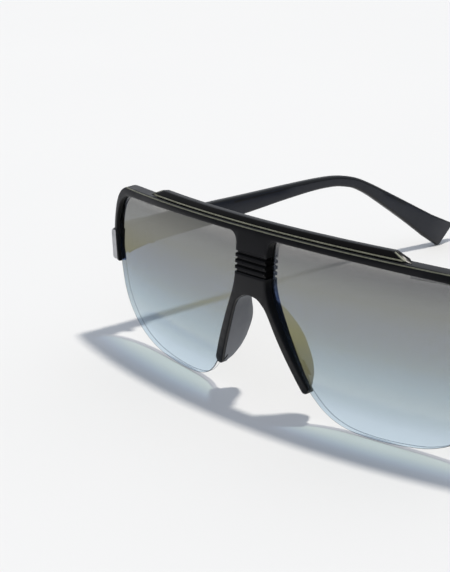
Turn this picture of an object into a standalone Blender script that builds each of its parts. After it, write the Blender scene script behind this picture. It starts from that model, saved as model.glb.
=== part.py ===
"""Half-rim sunglasses with a raised brow bar, modelled as they rest on a table.

The front stands on the lower edges of its two lenses and the temples touch the table with the lower
corners of their tips. +X is the wearer's left, the front faces -Y and the temples run back to +Y.
The front is drawn flat, as outlines in X and Z with a depth in Y, and is then bent to its curved face.
"""

import math

import bmesh
import bpy
from mathutils import Matrix, Vector

MM = 0.001
GAP = 0.3 * MM                      # clearance between neighbouring pieces
UNCUT = 200 * MM                    # a bend's step for bodies that already have enough points

# Whole object
FRONT_Y = -75.95 * MM               # the front's reference line, which centres the object on Y

# Curved face of the front: y = plan curve + tilt + upright curve
FACE_TOP = 51.93 * MM               # height of the brow's front top edge at the middle
PLAN_CURVE = 1.97                   # 1/m
PLAN_CURVE_OUTER = 12.2             # 1/m^3
FACE_TILT = 0.198
UPRIGHT_RADIUS = 129.4 * MM
LEG_SWEEP = 0.06                    # how far the legs lean back for each unit of height
LEG_SWEEP_FROM = 31.0 * MM
LEGS_WITHIN = 24.0 * MM

# Front frame
BROW_DROOP = 0.35                   # 1/m, how the brow's top edge falls towards its ends
BROW_LOW = 49.77 * MM
BROW_LOW_DROOP = 0.47
CORNER_START = 62.0 * MM            # where the brow starts to turn into the side rims
RIM_END = (73.6 * MM, 25.4 * MM)    # lowest point of a side rim
BRIDGE_CORNER = 3.2 * MM            # radius where the brow turns down into the bridge
BRIDGE_HALF = 6.25 * MM
GROOVE_TOP = 44.4 * MM
GROOVE_PITCH = 1.69 * MM
GROOVES = 4
GROOVE_WIDTH = 0.8 * MM
GROOVE_DEPTH = 0.55 * MM
NOTCH_DEPTH = 0.45 * MM
LEG_POCKET_FRONT = 1.1 * MM         # front lip of a leg, in front of its nose pad
POCKET_WIDE = 0.95 * MM
TIP_TAPER_TOP = 14.0 * MM           # from here down the legs thin towards their tips
TIP_THIN = 2.0 * MM
BACK_LIP = 0.15 * MM                # frame behind the lenses
BEHIND = 20 * MM                    # clear of everything that the cutters take off the frame's back

# Lenses
LENS_THICK = 1.7 * MM
LENS_INSET = 2.4 * MM               # lens face behind the frame's face, beside the bridge
LENS_INSET_FROM = 8.0 * MM
LENS_INSET_FALL = 0.015
LENS_IN_BROW = 0.8 * MM

# Nose pads
PAD_THIN = 0.62 * MM                # blade inside the pocket
PAD_SPLAY = 0.04

# Brow trim
BAR_TOP_RISE = 1.59 * MM            # brow bar above the brow's top edge, at the middle
BAR_TOP_GAIN = 0.16                 # 1/m, how the rise grows towards the ends
BAR_SHOULDER = 47.4 * MM            # where the sloped ends start, at the bar's front
BAR_END = 51.6 * MM
BAR_END_SKEW = 2.6 * MM             # how much shorter the bar is along its back
BAR_END_RISE = 0.35 * MM
BAR_FRONT = 1.25 * MM
BAR_BACK = 4.0 * MM
BAR_FOOT = 0.05 * MM                # how far the bar reaches below the brow's top edge
STRIPE = 0.45 * MM                  # height and depth of the lower pinstripe
STRIPE_SUNK = 0.05 * MM             # its top below the brow's top edge
LOWER_STRIPE_HALF = 65.0 * MM
UPPER_STRIPE_HALF = 49.9 * MM
UPPER_STRIPE_TOP_HALF = 46.1 * MM
UPPER_STRIPE_WIDE = 0.28 * MM
INLAY_HALF = 48.2 * MM
INLAY_TOP_HALF = 44.3 * MM

# Hinges, joined to the frame's end pieces
HINGE_X = 69.35 * MM
HINGE_Y = 19.0 * MM                 # behind the front's reference line
HINGE_Z = 32.6 * MM
BARREL = 1.45 * MM
KNUCKLE = 1.7 * MM
PIN = 0.55 * MM
PIN_HEAD = 1.2 * MM
PIN_HEAD_HIGH = 0.5 * MM
LEAF_FACE = 0.55 * MM               # leaf's inner face, outwards from the hinge axis
LEAF_THICK = 1.05 * MM
LEAF_HALF_HIGH = 2.85 * MM
FRONT_LEAF_LONG = 6.6 * MM
TEMPLE_LEAF_LONG = 7.6 * MM
RIVET = 0.42 * MM
RIVET_HEAD = 0.85 * MM
RIVET_HEAD_HIGH = 0.35 * MM
RIVET_LONG = 3.2 * MM
RIVET_RISE = 1.5 * MM
END_PIECE_CHAMFER = 0.8 * MM

# Temples
TEMPLE_LEAN = 0.0702                # how the temples draw together towards their tips
TEMPLE_IN = 71.2 * MM               # inner face at the hinge
TEMPLE_THICK = 3.3 * MM
TIP_THICK = 2.6 * MM
TIP_LOW = (146.6 * MM, 0.0)         # ends of the tip's flat cut, as (y, z)
TIP_HIGH = (154.3 * MM, 7.0 * MM)
TEMPLE_EDGE = 0.95 * MM             # rounding of the temple's long edges

SIDES = {"left": 1, "right": -1}


# ---- curves -----------------------------------------------------------------

def brow_top(x):
    return FACE_TOP - BROW_DROOP * x * x


def brow_low(x):
    return BROW_LOW - BROW_LOW_DROOP * x * x


def lens_bend(x, z):
    """The curve that the front and the lenses share, in plan and from the side."""
    dz = z - FACE_TOP
    return PLAN_CURVE * x ** 2 + PLAN_CURVE_OUTER * x ** 4 + FACE_TILT * dz + dz * dz / (2 * UPRIGHT_RADIUS)


def face_y(x, z):
    """The front's curved face, with the legs leaning back below the arch."""
    y = lens_bend(x, z)
    if abs(x) < LEGS_WITHIN and z < LEG_SWEEP_FROM:
        y += LEG_SWEEP * (LEG_SWEEP_FROM - z)
    return y


def lens_inset(x):
    """How far the lens's face lies behind the frame's."""
    return LENS_INSET - LENS_INSET_FALL * (abs(x) - LENS_INSET_FROM)


def smooth(points, steps=4):
    """A Catmull-Rom curve through the points."""
    vectors = [Vector(p) for p in points]
    ends = [2 * vectors[0] - vectors[1]] + vectors + [2 * vectors[-1] - vectors[-2]]
    curve = []
    for a, b, c, d in zip(ends, ends[1:], ends[2:], ends[3:]):
        for step in range(steps):
            t = step / steps
            curve.append(0.5 * (2 * b + (c - a) * t + (2 * a - 5 * b + 4 * c - d) * t ** 2
                                + (3 * b - a - 3 * c + d) * t ** 3))
    return curve + [vectors[-1]]


def in_mm(*pairs):
    return [(x * MM, z * MM) for x, z in pairs]


def offset_path(path, distance):
    """The path moved sideways, to the left of its direction for a positive distance."""
    moved = []
    for i, point in enumerate(path):
        along = (path[min(i + 1, len(path) - 1)] - path[max(i - 1, 0)]).normalized()
        moved.append(point + Vector((-along.y, along.x)) * distance)
    return moved


def steps_between(start, end, count):
    return [start + (end - start) * i / count for i in range(count + 1)]


# ---- outlines of the front, as (x, z) for the wearer's left half ------------------

def rim_outer():
    return smooth(in_mm((62, 50.58), (66.9, 50.1), (70.9, 48.2), (73.2, 45.0), (74.4, 40.5), (75.0, 35),
                        (74.8, 30), (74.1, 26.3)), 3)


def rim_inner():
    return smooth(in_mm((72.1, 25.5), (72.8, 30), (73.0, 35), (72.3, 40.4), (70.3, 44.7), (67.0, 47.1),
                        (62, 47.96)), 3)


def leg_outer():
    return smooth(in_mm((6.25, 38.0), (6.55, 35.9), (7.3, 33.4), (8.6, 30.3), (12.5, 22.4), (16.8, 13.9),
                        (18.55, 10.4)), 3)


def leg_tip():
    return smooth(in_mm((18.75, 9.6), (18.3, 8.6), (17.5, 8.2), (16.7, 8.35), (16.2, 9.1)), 2)


def leg_inner():
    return smooth(in_mm((16.2, 9.1), (14.4, 12.8), (10.3, 21.2), (6.6, 29.2), (4.7, 31.5), (2.6, 32.8),
                        (0, 33.2)), 3)


def bridge_side():
    """Down the bridge's side, with a notch at each groove."""
    centre = Vector((BRIDGE_HALF + BRIDGE_CORNER, brow_low(BRIDGE_HALF + BRIDGE_CORNER) - BRIDGE_CORNER))
    arc = [centre + BRIDGE_CORNER * Vector((math.cos(a), math.sin(a)))
           for a in steps_between(math.pi / 2, math.pi, 5)]
    side = []
    for groove in range(GROOVES):
        z = GROOVE_TOP - groove * GROOVE_PITCH
        side += [Vector((BRIDGE_HALF, z + GROOVE_WIDTH / 2)),
                 Vector((BRIDGE_HALF - NOTCH_DEPTH, z + GROOVE_WIDTH / 4)),
                 Vector((BRIDGE_HALF - NOTCH_DEPTH, z - GROOVE_WIDTH / 4)),
                 Vector((BRIDGE_HALF, z - GROOVE_WIDTH / 2))]
    return arc + side


def frame_half():
    top = [Vector((x, brow_top(x))) for x in steps_between(0, CORNER_START, 14)]
    low = [Vector((x, brow_low(x))) for x in steps_between(CORNER_START, 13 * MM, 11)]
    return (top + rim_outer()[1:] + [Vector(RIM_END)] + rim_inner()[:-1] + low
            + bridge_side() + leg_outer() + leg_tip()[:-1] + leg_inner())


def lens_outline():
    """A whole lens: its free lower edge, and the edges that the rim, the brow and the bridge hide."""
    lower = smooth(in_mm((16.0, 13.4), (17.2, 11.1), (18.55, 9.0), (20.1, 7.0), (22.4, 4.6), (25.6, 2.4),
                         (30, 0.8), (35, 0.14), (41, 0.02), (48, 0.44), (55, 1.45), (61, 3.6), (65.6, 6.7),
                         (69.4, 11.2), (71.7, 16.4), (72.6, 22), (73.4, 28), (73.9, 34), (73.2, 40),
                         (71.6, 45.2), (68.2, 47.9), (63, 48.7)), 3)
    top = [Vector((x, brow_low(x) + LENS_IN_BROW)) for x in steps_between(58 * MM, 12 * MM, 8)]
    inner = smooth(in_mm((8.2, 50.2), (5.9, 48.9), (5.2, 46.5), (5.0, 41.5), (5.1, 37), (5.7, 34.2),
                         (7.0, 31.2), (8.6, 28.4), (12.2, 21.4), (14.9, 15.7)), 3)
    return lower + top + inner


# ---- mesh helpers -----------------------------------------------------------

def material(name, color, roughness, metallic=0.0, alpha=1.0):
    made = bpy.data.materials.new(name)
    made.use_nodes = True
    shader = made.node_tree.nodes["Principled BSDF"]
    shader.inputs["Base Color"].default_value = (*color, 1.0)
    shader.inputs["Roughness"].default_value = roughness
    shader.inputs["Metallic"].default_value = metallic
    shader.inputs["Alpha"].default_value = alpha
    return made


def add_object(name, bm, finish=None, round_shape=True):
    bmesh.ops.recalc_face_normals(bm, faces=bm.faces)
    mesh = bpy.data.meshes.new(name)
    bm.to_mesh(mesh)
    bm.free()
    if round_shape:
        mesh.shade_smooth()
        mesh.set_sharp_from_angle(angle=math.radians(35))
    made = bpy.data.objects.new(name, mesh)
    if finish:
        mesh.materials.append(finish)
    bpy.context.scene.collection.objects.link(made)
    return made


def cutter(made):
    made.hide_render = True
    made.display_type = "WIRE"
    return made


def loft(name, rings, finish=None):
    """A closed body through rings of points, with flat caps on the first and the last."""
    bm = bmesh.new()
    rows = [[bm.verts.new(p) for p in ring] for ring in rings]
    count = len(rings[0])
    for low, high in zip(rows, rows[1:]):
        for i in range(count):
            j = (i + 1) % count
            bm.faces.new((low[i], low[j], high[j], high[i]))
    bm.faces.new(rows[0])
    bm.faces.new(rows[-1])
    return add_object(name, bm, finish)


def plate(name, outline, front, back, finish=None):
    """The outline's area between two depths. front and back are depths or functions of x."""
    def at(depth, x):
        return depth(x) if callable(depth) else depth
    return loft(name, [[(p.x, at(depth, p.x), p.y) for p in outline] for depth in (front, back)], finish)


def box(name, low, high, finish=None):
    corners = [(low[0], low[1]), (high[0], low[1]), (high[0], high[1]), (low[0], high[1])]
    return loft(name, [[(x, y, z) for x, y in corners] for z in (low[2], high[2])], finish)


def cylinder(name, radius, start, end, sides=20, finish=None):
    bm = bmesh.new()
    along = Vector(end) - Vector(start)
    turn = along.to_track_quat("Z", "Y").to_matrix().to_4x4()
    place = Matrix.Translation((Vector(start) + Vector(end)) / 2) @ turn
    bmesh.ops.create_cone(bm, cap_ends=True, segments=sides, radius1=radius, radius2=radius,
                          depth=along.length, matrix=place)
    return add_object(name, bm, finish)


def boolean(target, tools, operation="DIFFERENCE"):
    for tool in tools:
        step = target.modifiers.new(tool.name, "BOOLEAN")
        step.operation = operation
        step.solver = "EXACT"
        step.object = cutter(tool)


def apply_modifiers(made):
    """The object keeps its evaluated mesh."""
    bpy.context.view_layer.update()
    shape = made.evaluated_get(bpy.context.evaluated_depsgraph_get())
    mesh = bpy.data.meshes.new_from_object(shape)
    made.modifiers.clear()
    made.data = mesh


def remove(tools):
    for tool in tools:
        bpy.data.objects.remove(tool)


def bend(made, curve, step=5 * MM):
    """Cuts the flat mesh along a grid in X and Z, so that it can follow the curve, and bends it."""
    bm = bmesh.new()
    bm.from_mesh(made.data)
    for axis in (0, 2):
        values = [v.co[axis] for v in bm.verts]
        position = (math.floor(min(values) / step) + 0.5) * step
        while position < max(values):
            normal = Vector((0, 0, 0))
            normal[axis] = 1
            bmesh.ops.bisect_plane(bm, geom=bm.verts[:] + bm.edges[:] + bm.faces[:], dist=0.02 * MM,
                                   plane_co=normal * position, plane_no=normal)
            position += step
    for vertex in bm.verts:
        vertex.co.y += curve(vertex.co.x, vertex.co.z) + FRONT_Y
    bmesh.ops.remove_doubles(bm, verts=bm.verts, dist=0.01 * MM)
    bmesh.ops.triangulate(bm, faces=[f for f in bm.faces if len(f.verts) > 4])
    bm.to_mesh(made.data)
    bm.free()
    made.data.shade_smooth()
    made.data.set_sharp_from_angle(angle=math.radians(35))


def mirrored(points):
    return [Vector((-p.x, p.y)) for p in reversed(points)]


def along_brow(name, section, half, finish=None, count=24):
    """A body along the brow. section(x) gives its ring as (depth behind the face, height)."""
    rings = []
    for x in steps_between(-half, half, count):
        rings.append([(x, depth, z) for depth, z in section(x)])
    return loft(name, rings, finish)


# ---- front frame --------------------------------------------------------------

def lens_room(side):
    """The lens with the clearance that the frame leaves around it."""
    outline = offset_path(lens_outline(), -GAP)
    room = plate("lens_room", [Vector((p.x * side, p.y)) for p in outline],
                 lambda x: lens_inset(x) - GAP, lambda x: lens_inset(x) + LENS_THICK + GAP)
    bend(room, lens_bend)
    return room


def groove_cutters():
    reach = 2 * BRIDGE_HALF
    for groove in range(GROOVES):
        z = GROOVE_TOP - groove * GROOVE_PITCH
        yield box("groove", (-reach, -GROOVE_DEPTH, z - GROOVE_WIDTH / 2),
                  (reach, GROOVE_DEPTH, z + GROOVE_WIDTH / 2))


def back_cutter():
    """Everything behind the back of the frame, which follows the lenses."""
    wide = 80 * MM

    def back(x):
        return lens_inset(x) + LENS_THICK + BACK_LIP
    outline = [(-wide, back(wide)), (0, back(0)), (wide, back(wide)), (wide, BEHIND), (-wide, BEHIND)]
    return loft("back", [[(x, y, z) for x, y in outline] for z in (-5 * MM, 60 * MM)])


def pad_pocket(side):
    """The pocket for the nose pad, along the inner side of a leg and out at its tip."""
    edge = [p for p in leg_inner() if 9.6 * MM < p.y < 31.6 * MM]
    below = edge[0] + (edge[0] - edge[1]).normalized() * 3 * MM
    edge = [below] + edge
    strip = offset_path(edge, 1.5 * MM) + list(reversed(offset_path(edge, -POCKET_WIDE)))
    return plate("pad_pocket", [Vector((p.x * side, p.y)) for p in strip], LEG_POCKET_FRONT, 15 * MM)


def tip_cutter(side):
    """The wedge behind a leg's tip."""
    full = LENS_INSET + LENS_THICK + BACK_LIP
    low = 7.5 * MM
    section = [(full, TIP_TAPER_TOP), (TIP_THIN, low), (BEHIND, low), (BEHIND, TIP_TAPER_TOP)]
    return loft("tip_cutter", [[(side * x, y, z) for y, z in section] for x in (12 * MM, 23 * MM)])


def brow_cutters():
    """The channel under the brow bar and the rebate of the lower pinstripe."""
    def channel(x):
        low = brow_top(x) - BAR_FOOT - GAP
        return [(BAR_FRONT - GAP, low), (BAR_BACK + GAP, low), (BAR_BACK + GAP, low + 3 * MM),
                (BAR_FRONT - GAP, low + 3 * MM)]

    def rebate(x):
        low = brow_top(x) - STRIPE - GAP
        deep = STRIPE + GAP
        return [(-1 * MM, low), (deep, low), (deep, low + 3 * MM), (-1 * MM, low + 3 * MM)]
    yield along_brow("channel", channel, BAR_END + GAP)
    yield along_brow("rebate", rebate, LOWER_STRIPE_HALF + GAP)


def end_piece(side):
    """The block at the outer end of the frame that carries the hinge, a little proud of the rim."""
    inner = HINGE_X + LEAF_FACE + LEAF_THICK + GAP
    back = HINGE_Y - GAP / 2
    stations = [(8.4 * MM, 73.4 * MM, 75.4 * MM, 27.2 * MM, 36.3 * MM),
                (10.2 * MM, 72.9 * MM, 75.5 * MM, 26.8 * MM, 36.8 * MM),
                (13.5 * MM, inner, 75.2 * MM, 28.0 * MM, 36.9 * MM),
                (back, inner, 74.8 * MM, 28.7 * MM, 36.9 * MM)]
    c = END_PIECE_CHAMFER
    rings = []
    for y, near, far, low, high in stations:
        section = [(near, low), (far - c, low), (far, low + c), (far, high - c), (far - c, high),
                   (near, high)]
        rings.append([(side * x, FRONT_Y + y, z) for x, z in section])
    return loft("end_piece", rings)


def front_frame(finish):
    half = frame_half()
    outline = half[:-1] + mirrored(half)[:-1]
    frame = plate("front_frame", outline, 0.0, 12 * MM, finish)
    flat_tools = [*groove_cutters(), back_cutter(), *brow_cutters()]
    flat_tools += [pad_pocket(side) for side in SIDES.values()]
    flat_tools += [tip_cutter(side) for side in SIDES.values()]
    boolean(frame, flat_tools)
    apply_modifiers(frame)
    remove(flat_tools)
    bend(frame, face_y)
    boolean(frame, [end_piece(side) for side in SIDES.values()], "UNION")
    boolean(frame, [lens_room(side) for side in SIDES.values()])
    for side in SIDES.values():
        boolean(frame, list(rivet_bores(side, -1)))
    return frame


# ---- lenses, nose pads ----------------------------------------------------------

def lens(name, side, finish):
    made = plate(name, [Vector((p.x * side, p.y)) for p in lens_outline()], lens_inset,
                 lambda x: lens_inset(x) + LENS_THICK, finish)
    bend(made, lens_bend)


def nose_pad(name, side, finish):
    """A thin D-shaped blade in the pocket of a leg, which widens and turns outwards behind the lens."""
    stations = [(31.2, 3.5), (30.4, 4.1), (29.0, 5.0), (27.3, 5.9), (25.0, 7.0), (22.0, 7.9), (18.5, 8.1),
                (15.5, 7.6), (13.0, 6.6), (11.4, 5.5), (10.2, 4.3)]
    edge = leg_inner()
    rings = []
    for height, deep in stations:
        z = height * MM
        x = edge_at(edge, z)
        front = face_y(x, z) + LEG_POCKET_FRONT + GAP
        leg_back = face_y(x, z) + LENS_INSET + LENS_THICK + BACK_LIP + GAP
        back = max(deep * MM, leg_back + 1.2 * MM)
        out = PAD_SPLAY * (back - leg_back)
        ring = [(x, front), (x, leg_back), (x + out, back - 0.4 * MM), (x + out + 0.4 * MM, back),
                (x + out + 0.9 * MM, back - 0.3 * MM), (x + 1.1 * MM, leg_back + 0.2 * MM),
                (x + PAD_THIN, leg_back - 0.1 * MM), (x + PAD_THIN, front)]
        rings.append([(side * px, py + FRONT_Y, z) for px, py in ring])
    loft(name, rings, finish)


def edge_at(edge, z):
    """Where the edge of a leg is at this height."""
    for low, high in zip(edge, edge[1:]):
        if low.y <= z <= high.y:
            return low.x + (high.x - low.x) * (z - low.y) / (high.y - low.y)
    return edge[-1].x


# ---- brow trim ----------------------------------------------------------------

def bar_full(x):
    """Height of the bar's flat top above the brow's top edge."""
    return BAR_TOP_RISE + BAR_TOP_GAIN * x * x


def brow_bar(finish):
    """The raised bar, with the slanted seat of its inlay along the front, and sloped, skewed ends."""
    stations = [(-1, BAR_END_RISE)] + [(t * BAR_SHOULDER / BAR_END, None) for t in steps_between(-1, 1, 22)]
    stations += [(1, BAR_END_RISE)]
    rings = []
    for t, end_rise in stations:
        ring = []
        for depth, share in ((BAR_FRONT, 0), (BAR_FRONT, 0.24), (2.4 * MM, 0.62), (2.4 * MM, 1),
                             (BAR_BACK - 0.2 * MM, 1), (BAR_BACK, 0.9), (BAR_BACK, 0)):
            skew = BAR_END_SKEW * (depth - BAR_FRONT) / (BAR_BACK - BAR_FRONT)
            x = t * (BAR_END - skew)
            rise = end_rise or bar_full(x)
            low = -BAR_FOOT if share == 0 else share * rise
            ring.append((x, depth, brow_top(x) + low))
        rings.append(ring)
    bend(loft("brow_bar", rings, finish), face_y, UNCUT)


def brow_inlay(finish):
    """The glossy strip on the bar's slanted front, with ends cut parallel to the bar's ends."""
    rings = []
    for t in steps_between(-1, 1, 20):
        ring = []
        for depth, share, half in ((0.8, 0.63, INLAY_HALF), (2.0, 1.0, INLAY_TOP_HALF),
                                   (2.1, 0.78, INLAY_TOP_HALF), (1.0, 0.45, INLAY_HALF)):
            x = t * half
            ring.append((x, depth * MM, brow_top(x) + share * bar_full(x)))
        rings.append(ring)
    bend(loft("brow_inlay", rings, finish), face_y, UNCUT)


def upper_pinstripe(finish):
    """The bright line under the inlay, which turns up along the inlay's sloped ends."""
    half = UPPER_STRIPE_WIDE / 2
    run = steps_between(-UPPER_STRIPE_HALF, UPPER_STRIPE_HALF, 22)
    path = [(-UPPER_STRIPE_TOP_HALF, 0.98)] + [(x, 0.27) for x in run] + [(UPPER_STRIPE_TOP_HALF, 0.98)]
    line = [Vector((x, brow_top(x) + share * bar_full(x))) for x, share in path]
    low, high = offset_path(line, -half), offset_path(line, half)
    rings = []
    for (x, share), a, b in zip(path, low, high):
        depth = 0.62 * MM + (share - 0.27) * 1.55 * MM
        rings.append([(a.x, depth - half, a.y), (a.x, depth + half, a.y), (b.x, depth + half, b.y),
                      (b.x, depth - half, b.y)])
    bend(loft("upper_pinstripe", rings, finish), face_y, UNCUT)


def lower_pinstripe(finish):
    """The bright line let into the brow's front top edge."""
    def section(x):
        top = brow_top(x) - STRIPE_SUNK
        low = brow_top(x) - STRIPE
        return [(0, low), (STRIPE, low), (STRIPE, top), (0.08 * MM, top)]
    bend(along_brow("lower_pinstripe", section, LOWER_STRIPE_HALF, finish, 26), face_y, UNCUT)


# ---- hinges -------------------------------------------------------------------

def hinge_point(side, out=0.0, back=0.0, up=0.0):
    """A point given from the hinge axis: outwards, towards the back, upwards."""
    return (side * (HINGE_X + out), FRONT_Y + HINGE_Y + back, HINGE_Z + up)


def hinge_box(name, side, out, back, up):
    a = hinge_point(side, out[0], back[0], up[0])
    b = hinge_point(side, out[1], back[1], up[1])
    return box(name, [min(p, q) for p, q in zip(a, b)], [max(p, q) for p, q in zip(a, b)])


def knuckle_span(index):
    """Lower and upper end of a knuckle, counted from the bottom."""
    pitch = KNUCKLE + GAP
    middle = (index - 1) * pitch
    return middle - KNUCKLE / 2, middle + KNUCKLE / 2


def ring_of(name, side, radius, span, grow=0.0, finish=None):
    return cylinder(name, radius, hinge_point(side, up=span[0] - grow), hinge_point(side, up=span[1] + grow),
                    24, finish)


def rivet_place(direction, level):
    """Where a rivet sits, from the hinge axis: direction is -1 on the front and 1 on the temple."""
    reach = 4.6 * MM if direction < 0 else 5.2 * MM
    return direction * reach, level * RIVET_RISE


def temple_turn(side):
    """The temple's leaf lies along the temple, which leans inwards."""
    axis = Matrix.Translation(hinge_point(side))
    return axis @ Matrix.Rotation(side * math.atan(TEMPLE_LEAN), 4, "Z") @ axis.inverted()


def rivet_bores(side, direction):
    for level in (-1, 1):
        back, up = rivet_place(direction, level)
        bore = cylinder("rivet_bore", RIVET + GAP, hinge_point(side, LEAF_FACE - 1 * MM, back, up),
                        hinge_point(side, LEAF_FACE + RIVET_LONG, back, up), 12)
        if direction > 0:
            bore.data.transform(temple_turn(side))
        yield bore


def hinge_leaf(name, side, direction, knuckles, long, finish):
    """A leaf plate with its knuckles. The other leaf's knuckles have their room cut out of it."""
    others = [i for i in range(3) if i not in knuckles]
    back = (direction * long, direction * 0.2 * MM)
    leaf = hinge_box(name, side, (LEAF_FACE, LEAF_FACE + LEAF_THICK), back, (-LEAF_HALF_HIGH, LEAF_HALF_HIGH))
    leaf.data.materials.append(finish)
    boolean(leaf, [ring_of("room", side, BARREL + GAP, knuckle_span(i), GAP) for i in others])
    boolean(leaf, [ring_of("knuckle", side, BARREL, knuckle_span(i)) for i in knuckles], "UNION")
    boolean(leaf, [ring_of("bore", side, PIN + GAP, (-5 * MM, 5 * MM))])
    apply_modifiers(leaf)
    if direction > 0:
        leaf.data.transform(temple_turn(side))
    boolean(leaf, list(rivet_bores(side, direction)))


def hinge_screw(name, side, finish):
    low = knuckle_span(0)[0]
    high = knuckle_span(2)[1] + GAP
    screw = cylinder(name, PIN, hinge_point(side, up=low), hinge_point(side, up=high + 0.1 * MM), 20, finish)
    head = cylinder("head", PIN_HEAD, hinge_point(side, up=high),
                    hinge_point(side, up=high + PIN_HEAD_HIGH), 20)
    boolean(screw, [head], "UNION")
    slot = hinge_box("slot", side, (-0.15 * MM, 0.15 * MM), (-2 * MM, 2 * MM),
                     (high + 0.25 * MM, high + 2 * PIN_HEAD_HIGH))
    boolean(screw, [slot])


def leaf_rivet(name, side, direction, level, finish):
    back, up = rivet_place(direction, level)
    face = LEAF_FACE - GAP
    shank = cylinder(name, RIVET, hinge_point(side, face - 0.1 * MM, back, up),
                     hinge_point(side, LEAF_FACE + RIVET_LONG - GAP, back, up), 12, finish)
    head = cylinder("rivet_head", RIVET_HEAD, hinge_point(side, face - RIVET_HEAD_HIGH, back, up),
                    hinge_point(side, face, back, up), 16)
    if direction > 0:
        shank.data.transform(temple_turn(side))
        head.data.transform(temple_turn(side))
    boolean(shank, [head], "UNION")


# ---- temples ------------------------------------------------------------------

def temple_path():
    """Middle line of a temple as (y, z), and its height along the way."""
    stations = [(19.15, 32.7, 8.2), (30, 33.0, 8.0), (45, 33.15, 7.4), (60, 33.5, 6.2), (75, 34.0, 4.9),
                (88, 34.2, 4.0), (97, 33.75, 3.7), (103, 32.6, 3.7), (108, 30.9, 3.8), (114, 27.6, 4.2),
                (121, 23.0, 5.1), (128, 18.3, 6.1), (135, 13.5, 7.2), (142, 8.6, 8.5)]
    return smooth([(y * MM, z * MM, height * MM) for y, z, height in stations], 2)


def temple_section(thick, height):
    """A flat oval section, as (outwards from the inner face, up from the middle)."""
    r = min(TEMPLE_EDGE, thick / 2.5, height / 2.5)
    corners = [(r, -height / 2 + r, 180), (thick - r, -height / 2 + r, 270),
               (thick - r, height / 2 - r, 0), (r, height / 2 - r, 90)]
    return [(u + r * math.cos(math.radians(start + turn)), v + r * math.sin(math.radians(start + turn)))
            for u, v, start in corners for turn in (0, 45, 90)]


def temple(name, side, finish):
    """The arm: tall at the hinge, slim at the ear bend, and wide again at its flat cut tip."""
    path = temple_path()
    tip_low, tip_high = Vector(TIP_LOW), Vector(TIP_HIGH)
    rings = []
    for i, point in enumerate(path):
        before, after = path[max(i - 1, 0)], path[min(i + 1, len(path) - 1)]
        along = Vector((after.x - before.x, after.y - before.y)).normalized()
        up = Vector((-along.y, along.x)) if i else Vector((0, 1))
        t = i / len(path)
        rings.append(temple_ring(side, Vector((point.x, point.y)), up,
                                 TEMPLE_THICK + (TIP_THICK - TEMPLE_THICK) * t, point.z))
    cut = tip_high - tip_low
    rings.append(temple_ring(side, (tip_low + tip_high) / 2, cut.normalized(), TIP_THICK, cut.length))
    arm = loft(name, rings, finish)
    boolean(arm, list(rivet_bores(side, 1)))


def temple_ring(side, middle, up, thick, height):
    ring = []
    for u, v in temple_section(thick, height):
        place = middle + up * v
        inner = TEMPLE_IN - TEMPLE_LEAN * (place.x - HINGE_Y)
        ring.append((side * (inner + u), place.x + FRONT_Y, place.y))
    return ring


def main():
    for old in list(bpy.data.objects):
        bpy.data.objects.remove(old)
    matte = material("matte_black", (0.014, 0.015, 0.018), 0.55)
    gloss = material("gloss_black", (0.006, 0.006, 0.006), 0.08)
    metal = material("pale_gold_line", (0.42, 0.42, 0.34), 0.3, 1.0)
    hinge = material("hinge_black", (0.03, 0.03, 0.033), 0.35, 1.0)
    rubber = material("soft_grey", (0.1, 0.11, 0.13), 0.6)
    glass = material("gradient_lens", (0.25, 0.3, 0.35), 0.03, 0.0, 0.6)
    front_frame(matte)
    brow_bar(matte)
    brow_inlay(gloss)
    upper_pinstripe(metal)
    lower_pinstripe(metal)
    for word, side in SIDES.items():
        lens(f"lens_{word}", side, glass)
        nose_pad(f"nose_pad_{word}", side, rubber)
        hinge_leaf(f"hinge_front_leaf_{word}", side, -1, (0, 2), FRONT_LEAF_LONG, hinge)
        hinge_leaf(f"hinge_temple_leaf_{word}", side, 1, (1,), TEMPLE_LEAF_LONG, hinge)
        hinge_screw(f"hinge_screw_{word}", side, hinge)
        for level, place in ((-1, "lower"), (1, "upper")):
            leaf_rivet(f"front_rivet_{place}_{word}", side, -1, level, hinge)
            leaf_rivet(f"temple_rivet_{place}_{word}", side, 1, level, hinge)
        temple(f"temple_{word}", side, matte)


main()
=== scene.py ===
import math

import bmesh
import bpy
from mathutils import Matrix, Vector


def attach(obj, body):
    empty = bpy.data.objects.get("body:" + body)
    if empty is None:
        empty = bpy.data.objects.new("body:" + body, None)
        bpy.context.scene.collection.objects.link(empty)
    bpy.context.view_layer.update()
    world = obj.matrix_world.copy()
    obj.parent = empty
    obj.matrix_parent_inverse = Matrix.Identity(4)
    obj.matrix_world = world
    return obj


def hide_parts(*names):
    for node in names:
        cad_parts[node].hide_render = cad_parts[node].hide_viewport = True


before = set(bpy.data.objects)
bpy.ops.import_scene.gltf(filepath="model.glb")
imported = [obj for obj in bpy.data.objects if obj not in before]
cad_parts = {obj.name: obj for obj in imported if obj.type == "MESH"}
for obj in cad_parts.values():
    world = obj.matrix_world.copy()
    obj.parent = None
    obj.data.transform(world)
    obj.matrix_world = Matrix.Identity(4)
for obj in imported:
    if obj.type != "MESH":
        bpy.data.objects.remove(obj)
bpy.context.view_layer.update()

MM = 0.001
SIDES = {"left": 1, "right": -1}

# Camera
CAMERA_AZIMUTH = math.radians(49.462)
CAMERA_HEIGHT = math.radians(18.527)
CAMERA_ROLL = math.radians(-2.619)
CAMERA_FAR = 0.46117
CAMERA_AIM = Vector((-0.035889, -0.05595, 0.022366))
CAMERA_LENS = 96.717

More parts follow.
